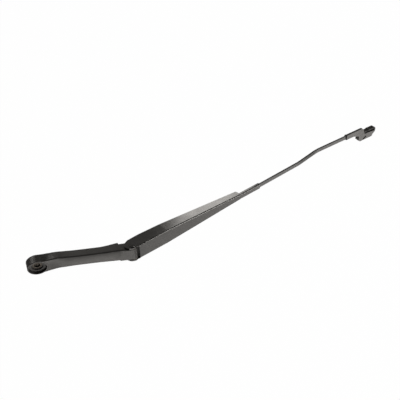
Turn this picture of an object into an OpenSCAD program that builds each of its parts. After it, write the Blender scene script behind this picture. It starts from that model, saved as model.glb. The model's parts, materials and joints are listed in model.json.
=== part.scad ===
/* [Mounting head] */
// Distance from the spindle bore to the hinge axis
hinge_reach = 141; // [120:0.5:170]
// Sideways distance from the bore to the middle plane of the arm
arm_offset = 2.1; // [1:0.1:3]
// Sideways distance from the bore to the middle of the head's bar
bar_offset = 3.5; // [2.5:0.1:3.6]
// Lean of the spindle axis to the side
side_lean = 15; // [0:1:20]
// Lean of the spindle axis toward the arm
fore_lean = 8.3; // [0:0.1:10]
// Radius of the boss at its top rim
boss_r = 15.2; // [14.6:0.1:16]
// Draft of the boss, added to its radius at the underside
boss_draft = 0.5; // [0:0.1:1.5]
// Depth of the boss below the nut seat
boss_down = 7.8; // [6:0.1:9]
// Half width of the head's bar at its waist
bar_half = 8.7; // [8:0.1:9.2]
// Half width of the shoulders beside the hinge
shoulder_half = 9.6; // [9.2:0.1:9.8]
// Depth of the bar at its waist
bar_depth = 15; // [14:0.5:16]
// Depth of the bar at the shoulders
shoulder_depth = 19.6; // [17:0.1:20]
// Wall of the hollow casting
head_wall = 2.2; // [1.8:0.1:3]
// Top skin of the hollow casting
head_skin = 3; // [2:0.25:4]
// Thickness of the ribs inside the casting
head_rib = 1.8; // [1.2:0.1:2.5]
// Number of cells between the ribs
head_cells = 4; // [2:1:6]

/* [Spindle seat] */
// Radius of the nut recess
recess_r = 13.5; // [11:0.1:13.8]
// Depth of the nut recess
recess_depth = 3.5; // [2.5:0.25:5]
// Radius of the lower step of the recess
step_r = 8.6; // [8:0.1:10]
// Depth of the lower step
step_depth = 2; // [1:0.25:3]
// Outer radius of the steel spindle bush
bush_r = 7.2; // [6.5:0.1:7.6]
// Radius of the threaded end's clearance hole
bore_r = 4.2; // [3.2:0.1:4.4]
// Length of that straight hole
bore_length = 3; // [2:0.25:4]
// Radius of the knurled taper at the underside
taper_r = 5.2; // [4.8:0.1:5.6]

/* [Hinge] */
// Angle between the head and the arm in the folded rest pose
fold_angle = 33; // [20:1:40]
// Radius of the knuckle, also its depth below the head's top face
knuckle_r = 6.3; // [6:0.1:6.6]
// Half width of the knuckle between the bush flanges
knuckle_half = 8.6; // [8.2:0.1:8.8]
// Radius of the hinge pin
pin_r = 3; // [2.5:0.1:3.2]
// Radial running clearance of the pin in its bushes
pin_clearance = 0.05; // [0.02:0.01:0.1]
// Outer radius of the hinge bushes
hinge_bush_r = 4.5; // [4.2:0.1:4.8]
// Thickness of the bush flanges
flange_t = 1.4; // [1:0.1:1.5]
// Radius of the flat rivet heads on the hinge pin
pin_head_r = 4.4; // [4:0.1:5]
// Height of the rivet heads
pin_head_t = 1.2; // [0.8:0.1:1.6]
// Gap from the shoulders to the retainer's tails
stop_gap = 3.7; // [2.5:0.1:5]

/* [Retainer] */
// Thickness of the pressed sheet
sheet = 1.5; // [1.2:0.1:1.6]
// Outer width of the channel at the hinge
root_w = 23.5; // [23.5:0.1:25]
// Outer width of the channel where the flanges end
end_w = 9.5; // [9.2:0.1:10]
// Height of the web's outer face above the hinge axis
web_top = 6.5; // [6.4:0.1:7]
// Distance from the hinge to the start of the web
web_start = 7.7; // [6.7:0.1:9]
// Distance from the hinge to the start of the taper
taper_start = 59.5; // [30:0.5:65]
// Distance from the hinge to the end of the flanges
flange_end = 207; // [190:1:220]
// Distance from the hinge to the end of the clinch
clinch_end = 250; // [240:1:260]
// Depth of the flanges below the hinge axis near the hinge
flange_low = 16.7; // [15:0.1:18]
// Depth of the flanges below the hinge axis at their far end
flange_tip = 5.4; // [3.5:0.1:6]
// Outer radius of the fold between web and flange
fold_r = 1.8; // [1.6:0.1:3]

/* [Spring gear] */
// Anchor pin behind the hinge axis
anchor_back = 1.5; // [1:0.1:2]
// Anchor pin below the hinge axis
anchor_drop = 8; // [7.9:0.1:8.5]
// Radius of the anchor pin
anchor_r = 1.75; // [1.5:0.05:2]
// Thickness of the flat link
link_t = 2.8; // [2:0.1:3]
// Width of the link's curved back
link_band = 2.4; // [2:0.1:2.8]
// Distance between the link's two eyes
link_length = 23; // [22:0.5:26]
// Radius of the spring wire
wire_r = 1; // [0.8:0.05:1.1]
// Mean radius of the spring's coils
coil_r = 4.2; // [3.6:0.1:4.4]
// Number of close wound coils
coils = 38; // [30:1:42]

/* [Rod] */
// Width of the flat rod
rod_w = 6; // [5:0.5:6]
// Thickness of the flat rod
rod_t = 3; // [2.5:0.25:3]
// Distance from the hinge to the rod's inner end
rod_start = 144; // [140:1:150]
// Distance from the hinge to the first outer bend
bend_one = 343; // [320:1:360]
// Distance from the first outer bend to the second
bend_gap = 49.4; // [40:0.1:60]
// Radius of the rod's outer bends
bend_r = 90; // [60:5:120]

/* [Tip bracket] */
// Thickness of the bracket's sheet
tip_sheet = 1.2; // [1:0.1:1.5]
// Distance from the second bend to the bracket's sleeve
sleeve_start = 69.5; // [65:0.5:80]
// Length of the sleeve's far side flange
sleeve_length = 38.5; // [32:0.5:42]
// Length of the connector panel
panel_length = 38; // [36:0.5:42]
// Distance from the rod's axis to the panel's near edge
panel_near = 9.2; // [8.8:0.1:10]
// Distance from the rod's axis to the panel's far edge
panel_far = 20.6; // [19:0.1:21.5]
// Depth of the bracket's side wall
wall_depth = 8.5; // [7:0.5:10]
// Depth of the plastic insert below the panel
insert_depth = 8.7; // [8.5:0.1:11]

/* [Hidden] */
$fn = 64;
eps = 0.01;
big = 60;

// Head outline, the seat is at the origin and the top rim of the boss above it
rim_up = recess_depth + step_depth;
rim_x = rim_up * cos(side_lean) * sin(fore_lean);
rim_y = -rim_up * sin(side_lean);
top_z = rim_up * cos(side_lean) * cos(fore_lean);
boss_twist = atan(tan(side_lean) / cos(fore_lean));
hinge_z = top_z - knuckle_r;
tail_back = 10.1;
tail_drop = 6.9;
tail_reach = 20;
ear_notch = 2.4;
flange_knee = 22;
shoulder_x = hinge_reach - tail_back * cos(fold_angle) - tail_drop * sin(fold_angle) - stop_gap;
shoulder_z = hinge_z + tail_back * sin(fold_angle) - tail_drop * cos(fold_angle);
shoulder_lean = 25.4;
waist_in = 48;
swell_lead = 40;
waist_out = shoulder_x - swell_lead;
tongue_reach = 20;
shift_start = 10;
shift_run = 26;
neck_run = 60;
swell_run = 45;
foot_drop = 0.5;
foot_run = 16;
sag_start = 30;
sag_run = 16;
drop_lag = 6;
drop_run = 38;
dip_end = 15.5;
level_start = 9.5;
level_run = 30;
twist_start = 5.5;
twist_run = 42;
edge_r = 1.6;
edge_steps = 4;
bar_start = -2.5;
bar_steps = 36;
bar_sink = 0.15;
cell_start = boss_r + 1.5;
cell_end = shoulder_x - 6;

// Spring geometry, seen from the side in the arm's own frame
anchor_u = anchor_drop * sin(fold_angle) - anchor_back * cos(fold_angle);
anchor_w = -anchor_drop * cos(fold_angle) - anchor_back * sin(fold_angle);
rod_centre = web_top - sheet - rod_t / 2;
hook_u = rod_start + 5;
hook_w = -2.5;
spring_angle = atan2(hook_w - anchor_w, hook_u - anchor_u);
spring_reach = norm([hook_u - anchor_u, hook_w - anchor_w]);
eye_r = anchor_r + 2.2;
tip_eye_r = 3.4;
wire_hole_r = wire_r + 0.6;
link_gap = 0.8;
arc_u = norm([anchor_back, anchor_drop]);
slot_half = link_t / 2 + 0.8;
coil_pitch = 2 * wire_r * 0.94;
coil_length = coils * coil_pitch;
hook_r = 3.2;
coil_start = link_length + 14;
coil_end = coil_start + coil_length;

// Corners of the rod's centre line, as [along, up] in the arm's own frame
bend_two = bend_one + bend_gap;
crank_angle = 20;
crank_u = rod_start + 12;
clinch_exit = clinch_end + 2;
first_lean = 0.76;
second_lean = 7.2;
last_lean = 4.4;
bend_one_w = rod_centre - (bend_one - clinch_exit) * tan(first_lean);
bend_two_w = bend_one_w - (bend_two - bend_one) * tan(second_lean);
rod_in_sleeve = 26;
rod_end = sleeve_start + rod_in_sleeve;
rod_corners = [
    [rod_start, hook_w],
    [crank_u, hook_w],
    [crank_u + (rod_centre - hook_w) / tan(crank_angle), rod_centre],
    [clinch_exit, rod_centre],
    [bend_one, bend_one_w],
    [bend_two, bend_two_w],
    [bend_two + rod_end * cos(last_lean), bend_two_w + rod_end * sin(last_lean)]];
corner_r = [0, 12, 12, bend_r, bend_r, bend_r, 0];
bend_steps = 8;

// Tip bracket
half_sleeve = rod_w / 2 + tip_sheet;
panel_top = rod_t / 2 + tip_sheet;
sleeve_end = sleeve_start + sleeve_length;
panel_start = sleeve_end - 7.5;
panel_end = panel_start + panel_length;
panel_step = 0.5;
flare_start = sleeve_start + 17;
panel_fold = 7.8;
latch_r = 1.3;
latch_run = 6.4;
latch_lean = 25;
socket_in = 8;
socket_mid = 13.7;
socket_w = 5;
socket_length = 24;
socket_depth = 6.5;
insert_run = 25;
insert_lip = 5.7;
insert_nose = 4.6;
groove_w = 2.4;
groove_depth = 4;
peg_r = 1.4;
peg_out = 5;
peg_in = 11.9;
mouth_rim = 0.5;

function ease(t) = t <= 0 ? 0 : t >= 1 ? 1 : (1 - cos(180 * t)) / 2;
function bar_mid(x) = rim_y + (bar_offset - rim_y) * ease((x - shift_start) / shift_run);
function rim_half(x) = (boss_r - 0.05) * cos(asin(min(1, abs(min(x, rim_x) - rim_x) / boss_r)));
function bar_side(x) = min(rim_half(x), bar_half + (boss_r - bar_half) * pow(max(0, 1 - x / neck_run), 1.9))
                       + (shoulder_half - bar_half) * ease((x - waist_out) / swell_run);
function bar_low(x) = rim_up + boss_down + foot_drop * ease(x / foot_run)
                      + (bar_depth - rim_up - boss_down - foot_drop) * ease((x - sag_start) / sag_run)
                      + (shoulder_depth - bar_depth) * ease((x - waist_out - drop_lag) / drop_run);
function bar_twist(x) = boss_twist * (1 - ease((x - twist_start) / twist_run));
function bar_top(x) = top_z - (bar_sink + tan(fore_lean) * (min(x, dip_end) - rim_x))
                      * (1 - ease((x - level_start) / level_run));
function bar_point(x, a, b) = [x, bar_mid(x) + a * cos(bar_twist(x)) - b * sin(bar_twist(x)),
                               bar_top(x) + a * sin(bar_twist(x)) + b * cos(bar_twist(x))];
function bar_edge(x, side) = [for (i = [0:edge_steps]) let (a = 90 * i / edge_steps)
    bar_point(x, side * (bar_side(x) - edge_r * (1 - cos(a))), -edge_r * (1 - sin(a)))];
function reversed(list) = [for (i = [len(list) - 1:-1:0]) list[i]];
function bar_ring(x) = concat([bar_point(x, -bar_side(x), -bar_low(x))], bar_edge(x, -1),
                              reversed(bar_edge(x, 1)), [bar_point(x, bar_side(x), -bar_low(x))]);
function cell_ring(x) = let (a = bar_side(x) - head_wall, deep = bar_low(x) + 5)
    [bar_point(x, -a, -deep), bar_point(x, -a, -head_skin), bar_point(x, a, -head_skin), bar_point(x, a, -deep)];
function channel_half(u) = u <= taper_start ? root_w / 2
    : root_w / 2 - (root_w - end_w) / 2 * (u - taper_start) / (flange_end - taper_start);
function heading(i) = atan2(rod_corners[i + 1][1] - rod_corners[i][1], rod_corners[i + 1][0] - rod_corners[i][0]);
function heading_in(i) = heading(max(i - 1, 0));
function heading_out(i) = heading(min(i, len(rod_corners) - 2));
function turn_at(i) = heading_in(i) - heading_out(i);
function bend_cut(i) = corner_r[i] * tan(abs(turn_at(i)) / 2);
function ahead(a) = [cos(a), sin(a)];
function across(a) = [-sin(a), cos(a)];
function rod_edge(side) = [
    for (i = [0:len(rod_corners) - 1], k = [0:(turn_at(i) == 0 ? 0 : bend_steps)])
        let (a0 = heading_in(i), a = a0 - turn_at(i) * k / bend_steps, swing = sign(turn_at(i)) * corner_r[i])
            rod_corners[i] - bend_cut(i) * ahead(a0) + swing * (across(a) - across(a0)) + side * across(a)];

// The origin is on the bore's axis at the nut seat, and that axis leans
module along_spindle() {
    rotate([side_lean, fore_lean, 0]) children();
}

module at_hinge() {
    translate([hinge_reach, arm_offset, hinge_z]) children();
}

module along_arm() {
    at_hinge() rotate([0, fold_angle, 0]) children();
}

module along_spring() {
    along_arm() translate([anchor_u, 0, anchor_w]) rotate([0, -spring_angle, 0]) children();
}

module along_tip() {
    along_arm() translate([bend_two, 0, bend_two_w]) rotate([0, -last_lean, 0]) children();
}

// Extrudes a side view, drawn as [along, up], to the same width on both sides
module side_plate(half) {
    rotate([90, 0, 0]) linear_extrude(height = 2 * half, center = true) children();
}

module cross_pin(r, half) {
    rotate([90, 0, 0]) cylinder(r = r, h = 2 * half, center = true);
}

module round_rect(width, height, r) {
    square([width - 2 * r, height], center = true);
    square([width, height - 2 * r], center = true);
    for (x = [-1, 1], y = [-1, 1])
        translate([x * (width / 2 - r), y * (height / 2 - r)]) circle(r = r);
}

// A solid through a row of rings that all have the same number of points
module loft(rings) {
    n = len(rings[0]);
    last = len(rings) - 1;
    sides = [for (k = [0:last - 1], i = [0:n - 1], part = [0, 1]) let (a = k * n + i, b = k * n + (i + 1) % n)
        part == 0 ? [a, b, a + n] : [b, b + n, a + n]];
    polyhedron([for (ring = rings, p = ring) p],
        concat(sides, [[for (i = [n - 1:-1:0]) i], [for (i = [0:n - 1]) last * n + i]]));
}

// The bar twists from the boss's lean to the upright hinge
module bar_body() {
    finish = shoulder_x + 5;
    loft([for (k = [0:bar_steps]) bar_ring(bar_start + (finish - bar_start) * k / bar_steps)]);
}

module bar_cells() {
    run = cell_end - cell_start;
    difference() {
        loft([for (k = [0:24]) cell_ring(cell_start + run * k / 24)]);
        for (i = [1:head_cells - 1])
            translate([cell_start + run * i / head_cells, bar_offset, 0])
                rotate([0, 0, i % 2 == 0 ? 30 : -30]) cube([head_rib, big, big], center = true);
        translate([0, bar_offset - 2 - head_rib / 2, -big / 2]) cube([waist_in, head_rib, big]);
    }
}

module tongue_side() {
    circle(r = knuckle_r);
    translate([-anchor_back, -anchor_drop]) circle(r = anchor_r + 2.6);
    polygon([[0, knuckle_r], [-tongue_reach, knuckle_r], [-tongue_reach, -knuckle_r - 6],
             [-anchor_back, -anchor_drop - anchor_r - 2.6],
             [anchor_r + 1, -anchor_drop], [knuckle_r - 0.4, -1]]);
}

module boss_profile() {
    foot = boss_r + boss_draft;
    polygon([[0, -boss_down], [foot - 0.6, -boss_down], [foot, -boss_down + 0.6], [boss_r, rim_up - 0.5],
             [boss_r - 0.4, rim_up], [0, rim_up]]);
}

module mounting_head() {
    color("#3b3a38") difference() {
        union() {
            along_spindle() rotate_extrude() boss_profile();
            difference() {
                bar_body();
                bar_cells();
                translate([shoulder_x, 0, shoulder_z]) rotate([0, shoulder_lean, 0])
                    translate([0, -big / 2, -big]) cube([big, big, 2 * big]);
            }
            at_hinge() side_plate(knuckle_half) tongue_side();
        }
        along_spindle() {
            translate([0, 0, step_depth]) cylinder(r = recess_r, h = big);
            cylinder(r = step_r, h = big);
            translate([0, 0, -big / 2]) cylinder(r = bush_r, h = big);
        }
        at_hinge() {
            cross_pin(pin_r + 0.4, big);
            for (s = [-1, 1])
                translate([0, s * (knuckle_half + slot_half + 0.8 + big) / 2, 0])
                    cross_pin(hinge_bush_r, (big + knuckle_half - slot_half - 0.8) / 2);
            translate([-anchor_back, 0, -anchor_drop]) cross_pin(anchor_r, knuckle_half - 1);
            link_slot();
        }
    }
}

// Open slot in the underside of the knuckle for the spring link
module link_slot() {
    side_plate(slot_half) {
        translate([-anchor_back, -anchor_drop]) circle(r = eye_r + 0.8);
        translate([-anchor_back - eye_r - 0.8, -anchor_drop - big]) square([big, big]);
        difference() {
            translate([0, -big]) square([big, big]);
            circle(r = knuckle_r);
        }
    }
}

module spindle_bush() {
    color("#8f8c86") along_spindle() difference() {
        translate([0, 0, -boss_down]) cylinder(r = bush_r, h = boss_down);
        translate([0, 0, -big / 2]) cylinder(r = bore_r, h = big);
        translate([0, 0, -boss_down - eps]) cylinder(r1 = taper_r, r2 = bore_r + 0.3, h = boss_down - bore_length);
    }
}

module spring_anchor_pin() {
    color("#a8a59e") at_hinge() translate([-anchor_back, 0, -anchor_drop])
        cross_pin(anchor_r, knuckle_half - 1);
}

module hinge_bushes() {
    length = knuckle_half - slot_half - 0.8;
    color("#d8d4c6") at_hinge() for (s = [0, 180]) rotate([0, 0, s]) translate([0, knuckle_half, 0])
        rotate([90, 0, 0]) difference() {
            union() {
                cylinder(r = hinge_bush_r, h = length);
                translate([0, 0, -flange_t]) cylinder(r = hinge_bush_r + 0.9, h = flange_t);
            }
            translate([0, 0, -big / 2]) cylinder(r = pin_r + pin_clearance, h = big);
        }
}

module hinge_pin() {
    color("#4a4845") at_hinge() {
        cross_pin(pin_r, root_w / 2);
        for (s = [0, 180]) rotate([0, 0, s]) translate([0, root_w / 2, 0]) rotate([-90, 0, 0]) {
            cylinder(r1 = pin_head_r, r2 = pin_head_r - 0.6, h = pin_head_t);
            cylinder(r = 1.4, h = pin_head_t + 0.4);
        }
    }
}

// Side outline of the channel: rounded ears at the hinge, a notch before the web, tails behind
module channel_side() {
    circle(r = web_top);
    polygon([[0, ear_notch], [web_start, ear_notch], [web_start, web_top], [flange_end, web_top],
             [flange_end + 1, -flange_tip + 5], [flange_end, -flange_tip], [flange_knee, -flange_low],
             [2, -flange_low + 0.6], [-5.2, -flange_low + 3.8], [-tail_back, -tail_drop],
             [-tail_back + 0.9, -tail_drop + 4.8], [-web_top - 0.9, 2.6], [-web_top * 0.7, web_top * 0.78]]);
}

module channel_plan(inset) {
    half = root_w / 2 - inset;
    tip = end_w / 2 - inset;
    polygon([[-tail_reach, half], [taper_start, half], [flange_end + 2, tip],
             [flange_end + 2, -tip], [taper_start, -half], [-tail_reach, -half]]);
}

// Leaves a round of radius fold_r along an edge that runs from start to finish
module fold_round(start, finish, side) {
    length = finish[0] - start[0];
    turn = atan2(finish[1] - start[1], length);
    translate([start[0], side * start[1], web_top]) rotate([0, 0, side * turn]) difference() {
        translate([-1, side > 0 ? -fold_r : -eps * 10, -fold_r]) cube([length + 2, fold_r + eps * 10, fold_r + 1]);
        translate([-2, -side * fold_r, -fold_r]) rotate([0, 90, 0]) cylinder(r = fold_r, h = length + 4);
    }
}

module retainer() {
    clinch_h = rod_t + 2 * sheet;
    color("#4b4946") along_arm() difference() {
        union() {
            difference() {
                intersection() {
                    side_plate(big) channel_side();
                    translate([0, 0, -big]) linear_extrude(height = 2 * big) channel_plan(0);
                }
                translate([0, 0, -big]) linear_extrude(height = big + web_top - sheet) channel_plan(sheet);
                translate([-big + web_start, -root_w / 2 + sheet, -big]) cube([big, root_w - 2 * sheet, 2 * big]);
                for (s = [-1, 1]) {
                    fold_round([web_start - 2, root_w / 2], [taper_start, root_w / 2], s);
                    fold_round([taper_start, root_w / 2], [flange_end + 2, end_w / 2], s);
                }
            }
            translate([flange_end - 8, 0, web_top - clinch_h / 2]) rotate([90, 0, 90])
                linear_extrude(height = clinch_end - flange_end + 8) round_rect(rod_w + 2 * sheet, clinch_h, fold_r);
        }
        translate([flange_end - 10, 0, rod_centre]) rotate([90, 0, 90])
            linear_extrude(height = big + 10) square([rod_w, rod_t], center = true);
        translate([flange_end - 10, -1.2, rod_centre - big]) cube([big + 10, 2.4, big]);
        cross_pin(pin_r, big);
    }
}

module link_side() {
    inner = knuckle_r + link_gap;
    outer = inner + link_band;
    difference() {
        union() {
            difference() {
                intersection() {
                    translate([arc_u, -link_gap]) circle(r = outer);
                    translate([-big / 2, -big]) square([big, big]);
                }
                translate([arc_u, -link_gap]) circle(r = inner);
            }
            circle(r = eye_r);
            translate([arc_u + inner, -link_band]) square([link_length - arc_u - inner, 2 * link_band - 0.6]);
            translate([link_length, 0]) circle(r = tip_eye_r);
        }
        circle(r = anchor_r + 0.05);
        translate([link_length, 0]) circle(r = wire_hole_r);
    }
}

module spring_link() {
    color("#9a978f") along_spring() side_plate(link_t / 2) link_side();
}

module wire_leg(length) {
    rotate([0, 90, 0]) cylinder(r = wire_r, h = length, $fn = 32);
}

// A loop of wire whose far side passes through the origin, with its open end towards +x
module wire_hook(length) {
    translate([hook_r, 0, 0]) {
        rotate([0, 0, 90]) rotate_extrude(angle = 180) translate([hook_r, 0]) circle(r = wire_r, $fn = 32);
        for (s = [-1, 1]) translate([0, s * hook_r, 0]) wire_leg(length - hook_r);
    }
}

module tension_spring() {
    color("#77746d") along_spring() {
        translate([coil_start, 0, 0]) rotate([0, 90, 0]) rotate_extrude()
            for (i = [0:coils - 1])
                translate([coil_r, (i + 0.5) * coil_pitch]) circle(r = wire_r, $fn = 32);
        translate([link_length, 0, 0]) wire_hook(coil_start - link_length + wire_r);
        translate([spring_reach, 0, 0]) rotate([90, 0, 180]) wire_hook(spring_reach - coil_end + wire_r);
    }
}

module rod_side() {
    upper = rod_edge(rod_t / 2);
    lower = rod_edge(-rod_t / 2);
    polygon(concat(upper, [for (i = [len(lower) - 1:-1:0]) lower[i]]));
}

module rod() {
    color("#55524e") along_arm() difference() {
        side_plate(rod_w / 2) rod_side();
        translate([hook_u, 0, hook_w - rod_t]) cylinder(r = wire_hole_r, h = 2 * rod_t);
    }
}

module panel_plan() {
    polygon([[sleeve_start, half_sleeve], [sleeve_end, half_sleeve], [sleeve_end + 3, 1],
             [sleeve_end + 5.7, -panel_fold], [sleeve_end + 7.2, -panel_near], [panel_end, -panel_near - 1.5],
             [panel_end - 5.5, -panel_far], [panel_start + 3.2, -panel_far], [panel_start, -panel_far + 2.5],
             [panel_start, -panel_near], [panel_start - 3, -panel_fold], [flare_start, -half_sleeve],
             [sleeve_start, -half_sleeve]]);
}

// Latch window, slanted across the panel
module latch_slot(r) {
    translate([panel_start + 14.4, -panel_far + 3.7]) rotate(latch_lean) {
        square([latch_run, 2 * r], center = true);
        for (s = [-1, 1]) translate([s * latch_run / 2, 0]) circle(r = r);
    }
}

module tip_bracket() {
    color("#7d7a75") along_tip() difference() {
        union() {
            translate([sleeve_start, 0, 0]) rotate([90, 0, 90])
                linear_extrude(height = flare_start - sleeve_start)
                    round_rect(2 * half_sleeve, 2 * panel_top, 1.6);
            translate([sleeve_start, 0, 0]) rotate([90, 0, 90]) linear_extrude(height = 1.6)
                round_rect(2 * (half_sleeve + mouth_rim), 2 * (panel_top + mouth_rim), 1.8);
            translate([sleeve_start, half_sleeve - tip_sheet, -panel_top + 1])
                cube([sleeve_length, tip_sheet, 2 * panel_top - 1]);
            translate([0, 0, panel_top - tip_sheet]) linear_extrude(height = tip_sheet) intersection() {
                panel_plan();
                translate([0, -panel_fold - 0.6]) square([2 * big + big, big]);
            }
            translate([0, 0, panel_top - tip_sheet - panel_step]) linear_extrude(height = tip_sheet) difference() {
                panel_plan();
                translate([0, -panel_fold]) square([2 * big + big, big]);
                latch_slot(latch_r);
            }
            translate([panel_start + 3.2, -panel_far, panel_top - panel_step - wall_depth])
                cube([panel_length - 8.7, tip_sheet, wall_depth]);
        }
        translate([sleeve_start - 1, 0, 0]) rotate([90, 0, 90]) linear_extrude(height = rod_end - sleeve_start + 1)
            square([rod_w, rod_t], center = true);
        translate([sleeve_start - 1, -0.8, -big]) cube([big, 1.6, big]);
    }
}

module insert_plan() {
    back = -panel_far + tip_sheet;
    step = panel_end - insert_run / 2;
    polygon([[panel_start + 3.2, back], [panel_end - 5, back], [panel_end + insert_nose - 1.5, back + 5],
             [panel_end + insert_nose, -panel_near - 0.6], [panel_end + insert_nose - 1, -insert_lip - 0.6],
             [panel_end + 1.8, -insert_lip], [step, -insert_lip], [step - 0.5, -insert_lip - 0.9],
             [panel_end - insert_run, -insert_lip - 0.9], [panel_end - insert_run - 0.5, -panel_near - 0.8],
             [panel_start + 2, -panel_near - 0.8], [panel_start + 2, back + 1.5]]);
}

module tip_insert() {
    top = panel_top - tip_sheet - panel_step;
    color("#242423") along_tip() difference() {
        union() {
            translate([0, 0, top - insert_depth]) linear_extrude(height = insert_depth) insert_plan();
            translate([panel_start + 3, -peg_in, top - peg_r]) rotate([0, -90, 0]) cylinder(r = peg_r, h = peg_out + 3);
        }
        translate([panel_start + socket_in, -socket_mid - socket_w / 2, top - insert_depth - 1])
            cube([socket_length, socket_w, socket_depth + 1]);
        translate([panel_end - insert_run + 1, -insert_lip - 2.1 - groove_w, top - groove_depth])
            cube([insert_run + 1, groove_w, big]);
        translate([0, 0, top - 1.2]) linear_extrude(height = big) latch_slot(latch_r);
        for (i = [0:3])
            translate([panel_end - 6 + 2.4 * i, -insert_lip - 0.9, top - insert_depth - 1])
                cube([0.8, big, insert_depth]);
    }
}

mounting_head();
spindle_bush();
spring_anchor_pin();
hinge_bushes();
hinge_pin();
retainer();
spring_link();
tension_spring();
rod();
tip_bracket();
tip_insert();
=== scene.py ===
import json
import math

import bpy
import bmesh
from mathutils import Matrix, Vector


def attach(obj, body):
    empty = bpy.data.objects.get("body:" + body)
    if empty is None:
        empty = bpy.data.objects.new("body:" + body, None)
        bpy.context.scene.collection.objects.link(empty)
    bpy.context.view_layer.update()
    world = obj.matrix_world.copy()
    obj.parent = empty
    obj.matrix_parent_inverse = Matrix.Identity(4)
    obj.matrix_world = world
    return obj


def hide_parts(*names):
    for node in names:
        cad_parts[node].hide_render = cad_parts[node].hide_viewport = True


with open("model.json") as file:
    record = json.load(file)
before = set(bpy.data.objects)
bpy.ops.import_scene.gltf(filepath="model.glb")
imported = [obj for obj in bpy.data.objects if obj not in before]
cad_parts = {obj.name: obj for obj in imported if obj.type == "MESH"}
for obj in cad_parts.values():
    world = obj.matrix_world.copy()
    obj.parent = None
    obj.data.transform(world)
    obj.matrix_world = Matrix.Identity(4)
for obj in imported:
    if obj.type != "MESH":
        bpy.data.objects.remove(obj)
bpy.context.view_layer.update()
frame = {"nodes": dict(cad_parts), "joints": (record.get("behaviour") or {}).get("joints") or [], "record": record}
nodes = frame["nodes"]
joints = {joint["name"]: joint for joint in frame["joints"]}
spindleBore = next(mount for mount in frame["record"]["mounts"] if mount["name"] == "spindle_bore")

# Shapes and patterns are given in mm, lamps, floor and camera in metres
mm = 0.001


# sRGB hex to the linear values that shaders take
def hexColour(text):
    values = [int(text[i:i + 2], 16) / 255 for i in (1, 3, 5)]
    return [v / 12.92 if v <= 0.04045 else ((v + 0.055) / 1.055) ** 2.4 for v in values] + [1.0]


# Adds one shader node, sets its inputs and links them
def addNode(tree, kind, settings=None, links=None, **fields):
    shader = tree.nodes.new(kind)
    for name, value in fields.items():
        setattr(shader, name, value)
    for name, value in (settings or {}).items():
        shader.inputs[name].default_value = value
    for name, source in (links or {}).items():
        tree.links.new(source, shader.inputs[name])
    return shader


def newMaterial(name):
    material = bpy.data.materials.new(name)
    material.use_nodes = True
    material.node_tree.nodes.clear()
    return material, material.node_tree


# low and high are the values between which most of a noise lies
noise = {"grainDetail": 3.0, "mottleDetail": 4.0, "low": 0.3, "high": 0.7}
# A Mix node's colour sockets go by number, because its other sockets have the same names
colourMix = {"share": 0, "first": 6, "second": 7, "result": 2}


# Painted shade in the bore: darkens what lies near the bore's axis, which runs through the frame's origin
def paintBoreShade(tree, place, skin, look):
    bore = look["bore"]
    offAxis = addNode(tree, "ShaderNodeVectorMath", {1: bore["axis"]}, {0: place.outputs["Object"]},
                      operation="CROSS_PRODUCT")
    away = addNode(tree, "ShaderNodeVectorMath", None, {0: offAxis.outputs["Vector"]}, operation="LENGTH")
    share = addNode(tree, "ShaderNodeMapRange",
                    {"From Min": bore["radius"] * mm, "From Max": (bore["radius"] + bore["edge"]) * mm},
                    {"Value": away.outputs["Value"]})
    boreShadeTone = addNode(tree, "ShaderNodeMix",
                   {colourMix["first"]: hexColour(bore["colour"]),
                    colourMix["second"]: hexColour(look["colour"])},
                   {colourMix["share"]: share.outputs["Result"]}, data_type="RGBA")
    tree.links.new(boreShadeTone.outputs[colourMix["result"]], skin.inputs["Base Color"])


# A finish with fine grain in its relief and slow patches in its sheen
def makeFinish(name, look):
    material, tree = newMaterial(name)
    place = addNode(tree, "ShaderNodeTexCoord")
    grain = addNode(tree, "ShaderNodeTexNoise",
                    {"Scale": 1 / (look["grain"] * mm), "Detail": noise["grainDetail"]},
                    {"Vector": place.outputs["Object"]})
    mottle = addNode(tree, "ShaderNodeTexNoise",
                     {"Scale": 1 / (look["mottleSize"] * mm), "Detail": noise["mottleDetail"]},
                     {"Vector": place.outputs["Object"]})
    bump = addNode(tree, "ShaderNodeBump", {"Strength": 1.0, "Distance": look["bump"] * mm},
                   {"Height": grain.outputs["Fac"]})
    rough = addNode(tree, "ShaderNodeMapRange",
                    {"From Min": noise["low"], "From Max": noise["high"],
                     "To Min": look["rough"] - look["mottle"], "To Max": look["rough"] + look["mottle"]},
                    {"Value": mottle.outputs["Fac"]})
    skin = addNode(tree, "ShaderNodeBsdfPrincipled",
                   {"Base Color": hexColour(look["colour"]), "Metallic": look["metal"],
                    "Specular IOR Level": look["gloss"]},
                   {"Roughness": rough.outputs["Result"], "Normal": bump.outputs["Normal"]})
    # the bore's painted shade, for the finishes that have one
    if "bore" in look:
        paintBoreShade(tree, place, skin, look)
    addNode(tree, "ShaderNodeOutputMaterial", None, {"Surface": skin.outputs["BSDF"]})
    return material


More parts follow.
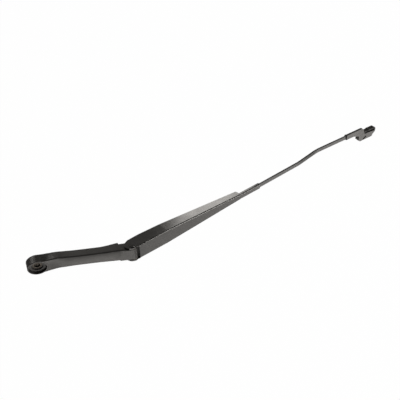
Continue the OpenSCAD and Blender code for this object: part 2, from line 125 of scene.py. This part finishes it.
# grain, mottleSize and bump are in mm; real grain is too fine to show here, so it is drawn coarser
looks = {
    # Satin black powder coat on die-cast metal: a broad soft sheen, a little uneven
    "powderCoatedCasting": {
        "colour": "#232120", "rough": 0.4, "metal": 0.0, "gloss": 0.6,
        "grain": 0.9, "bump": 0.01, "mottle": 0.03, "mottleSize": 14.0},
    # Satin black paint on pressed sheet steel: smoother, so its flat faces show clear light and dark
    "paintedSheetSteel": {
        "colour": "#1b1a1a", "rough": 0.3, "metal": 0.0, "gloss": 0.7,
        "grain": 0.7, "bump": 0.006, "mottle": 0.03, "mottleSize": 18.0},
    # The same paint on drawn flat bar, a touch duller
    "paintedFlatBar": {
        "colour": "#1b1a1a", "rough": 0.34, "metal": 0.0, "gloss": 0.7,
        "grain": 0.7, "bump": 0.005, "mottle": 0.03, "mottleSize": 12.0},
    # Turned steel left bare: brownish grey rings round a bore made black with painted shade
    "turnedSteel": {
        "colour": "#4e4a45", "rough": 0.42, "metal": 1.0, "gloss": 0.5,
        "grain": 0.5, "bump": 0.006, "mottle": 0.05, "mottleSize": 4.0,
        # painted shade inside the bore: how far out it reaches, its soft edge and its dark colour
        "bore": {"axis": spindleBore["axis"], "radius": spindleBore["dims"]["r_mm"] + 0.1, "edge": 0.4,
                 "colour": "#0b0a0a"}},
    # Zinc plated steel: pale grey with a cloudy sheen
    "zincPlatedSteel": {
        "colour": "#8c8a84", "rough": 0.38, "metal": 1.0, "gloss": 0.5,
        "grain": 0.6, "bump": 0.005, "mottle": 0.06, "mottleSize": 5.0},
    # Drawn spring wire, oiled: dark grey with a small bright line along each turn
    "oiledSpringWire": {
        "colour": "#57544e", "rough": 0.36, "metal": 1.0, "gloss": 0.5,
        "grain": 0.5, "bump": 0.004, "mottle": 0.05, "mottleSize": 6.0},
    # Moulded acetal: pale grey and waxy, with no clear reflection
    "mouldedAcetal": {
        "colour": "#8d8a80", "rough": 0.5, "metal": 0.0, "gloss": 0.5,
        "grain": 0.6, "bump": 0.004, "mottle": 0.03, "mottleSize": 5.0},
    # Black plastic moulded with a fine grain: duller and deeper than the paint beside it
    "mouldedBlackPlastic": {
        "colour": "#151515", "rough": 0.5, "metal": 0.0, "gloss": 0.5,
        "grain": 0.4, "bump": 0.01, "mottle": 0.03, "mottleSize": 6.0},
}
materials = {name: makeFinish(name, look) for name, look in looks.items()}
print("materials made:", len(materials))

nodeFinishes = {
    "mounting_head": "powderCoatedCasting",
    "spindle_bush": "turnedSteel",
    "spring_anchor_pin": "zincPlatedSteel",
    "hinge_bushes": "mouldedAcetal",
    "hinge_pin": "paintedSheetSteel",
    "retainer": "paintedSheetSteel",
    "spring_link": "zincPlatedSteel",
    "tension_spring": "oiledSpringWire",
    "rod": "paintedFlatBar",
    "tip_bracket": "paintedSheetSteel",
    "tip_insert": "mouldedBlackPlastic",
}
for nodeName, finishName in nodeFinishes.items():
    part = nodes[nodeName]
    part.data.materials.clear()
    part.data.materials.append(materials[finishName])
print("CAD nodes dressed:", len(nodeFinishes))


# Turns a finished bmesh into an object of one material
def makeObject(name, shape, material):
    mesh = bpy.data.meshes.new(name)
    shape.to_mesh(mesh)
    shape.free()
    made = bpy.data.objects.new(name, mesh)
    bpy.context.scene.collection.objects.link(made)
    made.data.materials.append(material)
    return made


def onlyVerts(geometry):
    return [item for item in geometry if isinstance(item, bmesh.types.BMVert)]


# The head again with its triangles merged, so that light runs evenly along its twisted bar
headSettings = {"mergeDistance": 0.002, "sharpAngle": 32.0}
headShape = bmesh.new()
headShape.from_mesh(nodes["mounting_head"].data)
bmesh.ops.remove_doubles(headShape, verts=headShape.verts, dist=headSettings["mergeDistance"] * mm)
for face in headShape.faces:
    face.smooth = True
sharpAngle = math.radians(headSettings["sharpAngle"])
for edge in headShape.edges:
    edge.smooth = len(edge.link_faces) == 2 and edge.calc_face_angle() < sharpAngle
castHead = makeObject("castHead", headShape, materials["powderCoatedCasting"])
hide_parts("mounting_head")
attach(castHead, "head")
print("head made:", len(castHead.data.polygons), "faces")


# The arm's own directions: x along it from the hinge, y across, z square to its web.
# hookHole is the hole in the rod's inner end that the spring hooks into.
armSettings = {"fold": 33.0, "hookHole": (149.0, 0.0, -2.5)}
armPlace = (Matrix.Translation(joints["arm_fold"]["pos_m"])
            @ Matrix.Rotation(math.radians(armSettings["fold"]), 4, "Y") @ Matrix.Scale(mm, 4))

# The flanges' corners beside the web's front edge, drawn full as on the pressing
cornerSettings = {"low": 1.6, "high": 6.15, "edge": 0.2, "edgeSteps": 2,
                  "outline": [(3.6, 10.3), (6.95, 10.3), (6.95, 8.4), (7.75, 8.4), (7.75, 11.7), (3.6, 11.7)]}
cornerShape = bmesh.new()
for side in (-1, 1):
    base = cornerShape.faces.new([cornerShape.verts.new((along, side * across, cornerSettings["low"]))
                                  for along, across in cornerSettings["outline"]])
    grown = bmesh.ops.extrude_face_region(cornerShape, geom=[base])["geom"]
    bmesh.ops.translate(cornerShape, vec=(0, 0, cornerSettings["high"] - cornerSettings["low"]),
                        verts=onlyVerts(grown))
bmesh.ops.bevel(cornerShape, geom=list(cornerShape.edges), offset=cornerSettings["edge"], affect="EDGES",
                segments=cornerSettings["edgeSteps"], profile=0.5, material=-1)
bmesh.ops.transform(cornerShape, verts=cornerShape.verts, matrix=armPlace)
bmesh.ops.recalc_face_normals(cornerShape, faces=cornerShape.faces)
flangeCorners = makeObject("flangeCorners", cornerShape, materials["paintedSheetSteel"])
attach(flangeCorners, "arm")
print("flange corners made:", len(flangeCorners.data.polygons), "faces")


# Spring: the coil and its near hook go with the link, the tail hook goes with the arm.
# Its x runs from the anchor pin toward the hole in the rod's inner end.
spring = {"wire": 1.0, "sides": 10, "nearHook": 23.0, "farHook": 146.0, "hookRadius": 3.2, "hookSteps": 12,
          "coilStart": 37.0, "coilRadius": 4.2, "turns": 38, "pitch": 1.88, "stepsPerTurn": 24}
anchor = Vector(joints["link_swing"]["pos_m"])
reach = armPlace @ Vector(armSettings["hookHole"]) - anchor
springPlace = (Matrix.Translation(anchor) @ Matrix.Rotation(math.atan2(-reach.z, reach.x), 4, "Y")
               @ Matrix.Scale(mm, 4))


# A closed round wire drawn along a path
def drawWire(name, path):
    points = [Vector(point) for point in path]
    padded = [points[0]] + points + [points[-1]]
    ahead = [(after - before).normalized() for before, after in zip(padded, padded[2:])]
    wire = bmesh.new()
    start = Matrix.Translation(points[0]) @ ahead[0].to_track_quat("Z", "Y").to_matrix().to_4x4()
    bmesh.ops.create_circle(wire, cap_ends=True, segments=spring["sides"], radius=spring["wire"],
                            matrix=start)
    rim = list(wire.edges)
    for k in range(1, len(points)):
        grown = bmesh.ops.extrude_edge_only(wire, edges=rim)["geom"]
        ring = set(onlyVerts(grown))
        rim = [item for item in grown if isinstance(item, bmesh.types.BMEdge) and ring.issuperset(item.verts)]
        turn = ahead[k - 1].rotation_difference(ahead[k]).to_matrix().to_4x4()
        bmesh.ops.transform(wire, verts=list(ring),
                            matrix=Matrix.Translation(points[k]) @ turn @ Matrix.Translation(-points[k - 1]))
    bmesh.ops.edgeloop_fill(wire, edges=rim)
    bmesh.ops.transform(wire, verts=wire.verts, matrix=springPlace)
    bmesh.ops.recalc_face_normals(wire, faces=wire.faces)
    for face in wire.faces:
        face.smooth = len(face.verts) == 4
    return makeObject(name, wire, materials["oiledSpringWire"])


# Points of an arc as pairs, from (radius, 0) through the angle given
def arcPoints(radius, angle, steps):
    turns = [angle * k / steps for k in range(steps + 1)]
    return [(radius * math.cos(turn), radius * math.sin(turn)) for turn in turns]


def shiftedAlong(start, points):
    return [(start + x, y, z) for x, y, z in points]


hookRadius = spring["hookRadius"]
coilRadius = spring["coilRadius"]
halfLoop = arcPoints(hookRadius, math.pi, spring["hookSteps"])
nearLoop = [(hookRadius - out, -across, 0.0) for across, out in halfLoop]
# The near hook's bent-back end and the wire's way into the coil, with x from the coil's start
nearEnd = [(-2.0, -hookRadius, 0.0)]
leadIn = [(-6.0, hookRadius, 0.0), (-3.4, hookRadius + 0.4, -0.5), (-1.2, coilRadius, -1.3)]
coilTurns = arcPoints(coilRadius, 2 * math.pi * spring["turns"], spring["turns"] * spring["stepsPerTurn"])
coil = [(spring["pitch"] * k / spring["stepsPerTurn"], y, z) for k, (y, z) in enumerate(coilTurns)]
springCoil = drawWire("springCoil", shiftedAlong(spring["coilStart"], nearEnd)
                      + shiftedAlong(spring["nearHook"], nearLoop)
                      + shiftedAlong(spring["coilStart"], leadIn + coil))
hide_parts("tension_spring")
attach(springCoil, "link")

# The shank's inner end leaves the coil only when the arm is nearly up; x is from the far hook's tip
shank = [(-47.5, 0.0, 0.0), (-26.0, 0.0, 0.0), (-20.0, 0.0, 0.2), (-15.0, 0.0, 1.4), (-10.5, 0.0, 2.8),
         (-7.0, 0.0, hookRadius)]
farLoop = [(out - hookRadius, 0.0, across) for across, out in halfLoop]
farEnd = [(-6.5, 0.0, -hookRadius), (-9.5, 0.0, -hookRadius)]
springTail = drawWire("springTail", shiftedAlong(spring["farHook"], shank + farLoop + farEnd))
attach(springTail, "arm")
print("spring made:", len(springCoil.data.polygons) + len(springTail.data.polygons), "faces")


# Floor: white to the camera, pale grey with its shadow for every other ray
floorSettings = {"drop": 0.315, "size": 12.0, "colour": "#acacaa", "whiteShare": 0.99}
pureWhite = (1, 1, 1, 1)
floorMaterial, floorTree = newMaterial("paleMattFloor")
floorRay = addNode(floorTree, "ShaderNodeLightPath")
whiteShare = addNode(floorTree, "ShaderNodeMath", {1: floorSettings["whiteShare"]},
                     {0: floorRay.outputs["Is Camera Ray"]}, operation="MULTIPLY")
paleMatt = addNode(floorTree, "ShaderNodeBsdfDiffuse", {"Color": hexColour(floorSettings["colour"])})
whiteGlow = addNode(floorTree, "ShaderNodeEmission", {"Color": pureWhite, "Strength": 1.0})
floorMix = addNode(floorTree, "ShaderNodeMixShader", None,
                   {0: whiteShare.outputs["Value"], 1: paleMatt.outputs["BSDF"],
                    2: whiteGlow.outputs["Emission"]})
addNode(floorTree, "ShaderNodeOutputMaterial", None, {"Surface": floorMix.outputs["Shader"]})
floorShape = bmesh.new()
bmesh.ops.create_grid(floorShape, x_segments=1, y_segments=1, size=floorSettings["size"] / 2,
                      matrix=Matrix.Translation((0, 0, -floorSettings["drop"])))
floor = makeObject("floor", floorShape, floorMaterial)
print("floor made")


# World: dim even light, white where the camera sees past the floor
warmWhite = (1.0, 0.968, 0.925)
worldSettings = {"light": 0.12}
world = bpy.data.worlds.new("studio")
bpy.context.scene.world = world
world.use_nodes = True
worldTree = world.node_tree
worldTree.nodes.clear()
worldRay = addNode(worldTree, "ShaderNodeLightPath")
worldLight = addNode(worldTree, "ShaderNodeBackground",
                     {"Color": (*warmWhite, 1.0), "Strength": worldSettings["light"]})
worldWhite = addNode(worldTree, "ShaderNodeBackground", {"Color": pureWhite, "Strength": 1.0})
worldMix = addNode(worldTree, "ShaderNodeMixShader", None,
                   {0: worldRay.outputs["Is Camera Ray"], 1: worldLight.outputs["Background"],
                    2: worldWhite.outputs["Background"]})
addNode(worldTree, "ShaderNodeOutputWorld", None, {"Surface": worldMix.outputs["Shader"]})


# Lamps: each but the fill lies where the camera sees it mirrored in one face of the arm.
# Those just above the floor face up, and aim 1 mm off plumb to settle how their sides lie.
lightSettings = [
    # in the head's top
    {"name": "backSoftbox", "at": (0.25, -1.2, 1.2), "aim": (0.25, 0, -0.1), "size": (1.8, 0.8),
     "power": 15.0},
    # in the rounded fold between web and flange
    {"name": "edgeStrip", "at": (1.45, 0.05, 0.55), "aim": (0.26, 0, -0.05), "size": (0.8, 0.25),
     "power": 12.0},
    # in the web
    {"name": "webPanel", "at": (1.2, -0.85, 0.4), "aim": (0.25, 0, -0.05), "size": (0.5, 0.5),
     "power": 1.35},
    # in the rod, the sleeve and the connector
    {"name": "tipPanel", "at": (1.5, -0.62, 0.02), "aim": (0.5, 0, -0.22), "size": (0.5, 0.45),
     "power": 2.0},
    # in the flange, whose light rises along the arm
    {"name": "floorPanel", "at": (0.298, 0.15, -0.298), "aim": (0.298, 0.149, 0.0), "size": (0.134, 0.14),
     "power": 0.315},
    # the fill, for the side away from the camera
    {"name": "frontFill", "at": (0.25, -1.5, 0.05), "aim": (0.25, 0, -0.1), "size": (1.6, 0.5),
     "power": 5.0},
    # in the head's side
    {"name": "headPanel", "at": (0.0, 0.3, -0.298), "aim": (0.0, 0.299, 0.0), "size": (0.15, 0.16),
     "power": 0.075},
    # in the boss's round wall
    {"name": "bossPanel", "at": (-0.55, 0.65, -0.3), "aim": (-0.549, 0.65, 0.0), "size": (0.2, 0.7),
     "power": 4.6},
]
for settings in lightSettings:
    lamp = bpy.data.lights.new(settings["name"], "AREA")
    lamp.shape = "RECTANGLE"
    lamp.size, lamp.size_y = settings["size"]
    lamp.energy = settings["power"]
    lamp.color = warmWhite
    lampObject = bpy.data.objects.new(settings["name"], lamp)
    lampObject.location = settings["at"]
    toward = Vector(settings["aim"]) - Vector(settings["at"])
    lampObject.rotation_euler = toward.to_track_quat("-Z", "Y").to_euler()
    lampObject.visible_camera = False
    bpy.context.scene.collection.objects.link(lampObject)
print("lights set:", len(lightSettings))


# Camera: fitted to the photo's outline of the arm
cameraSettings = {"at": (0.17503, 0.72276, 0.91006), "turn": (-34.7356, -6.7888, -3.456),
                  "lens": 70.66, "sensor": 36.0, "nearest": 0.01, "farthest": 60.0}
camera = bpy.data.cameras.new("photoCamera")
camera.sensor_width = cameraSettings["sensor"]
camera.lens = cameraSettings["lens"]
camera.clip_start = cameraSettings["nearest"]
camera.clip_end = cameraSettings["farthest"]
cameraObject = bpy.data.objects.new("photoCamera", camera)
cameraObject.location = cameraSettings["at"]
cameraObject.rotation_euler = [math.radians(angle) for angle in cameraSettings["turn"]]
bpy.context.scene.collection.objects.link(cameraObject)
bpy.context.scene.camera = cameraObject
bpy.context.scene.view_settings.view_transform = "Standard"
print("camera set")
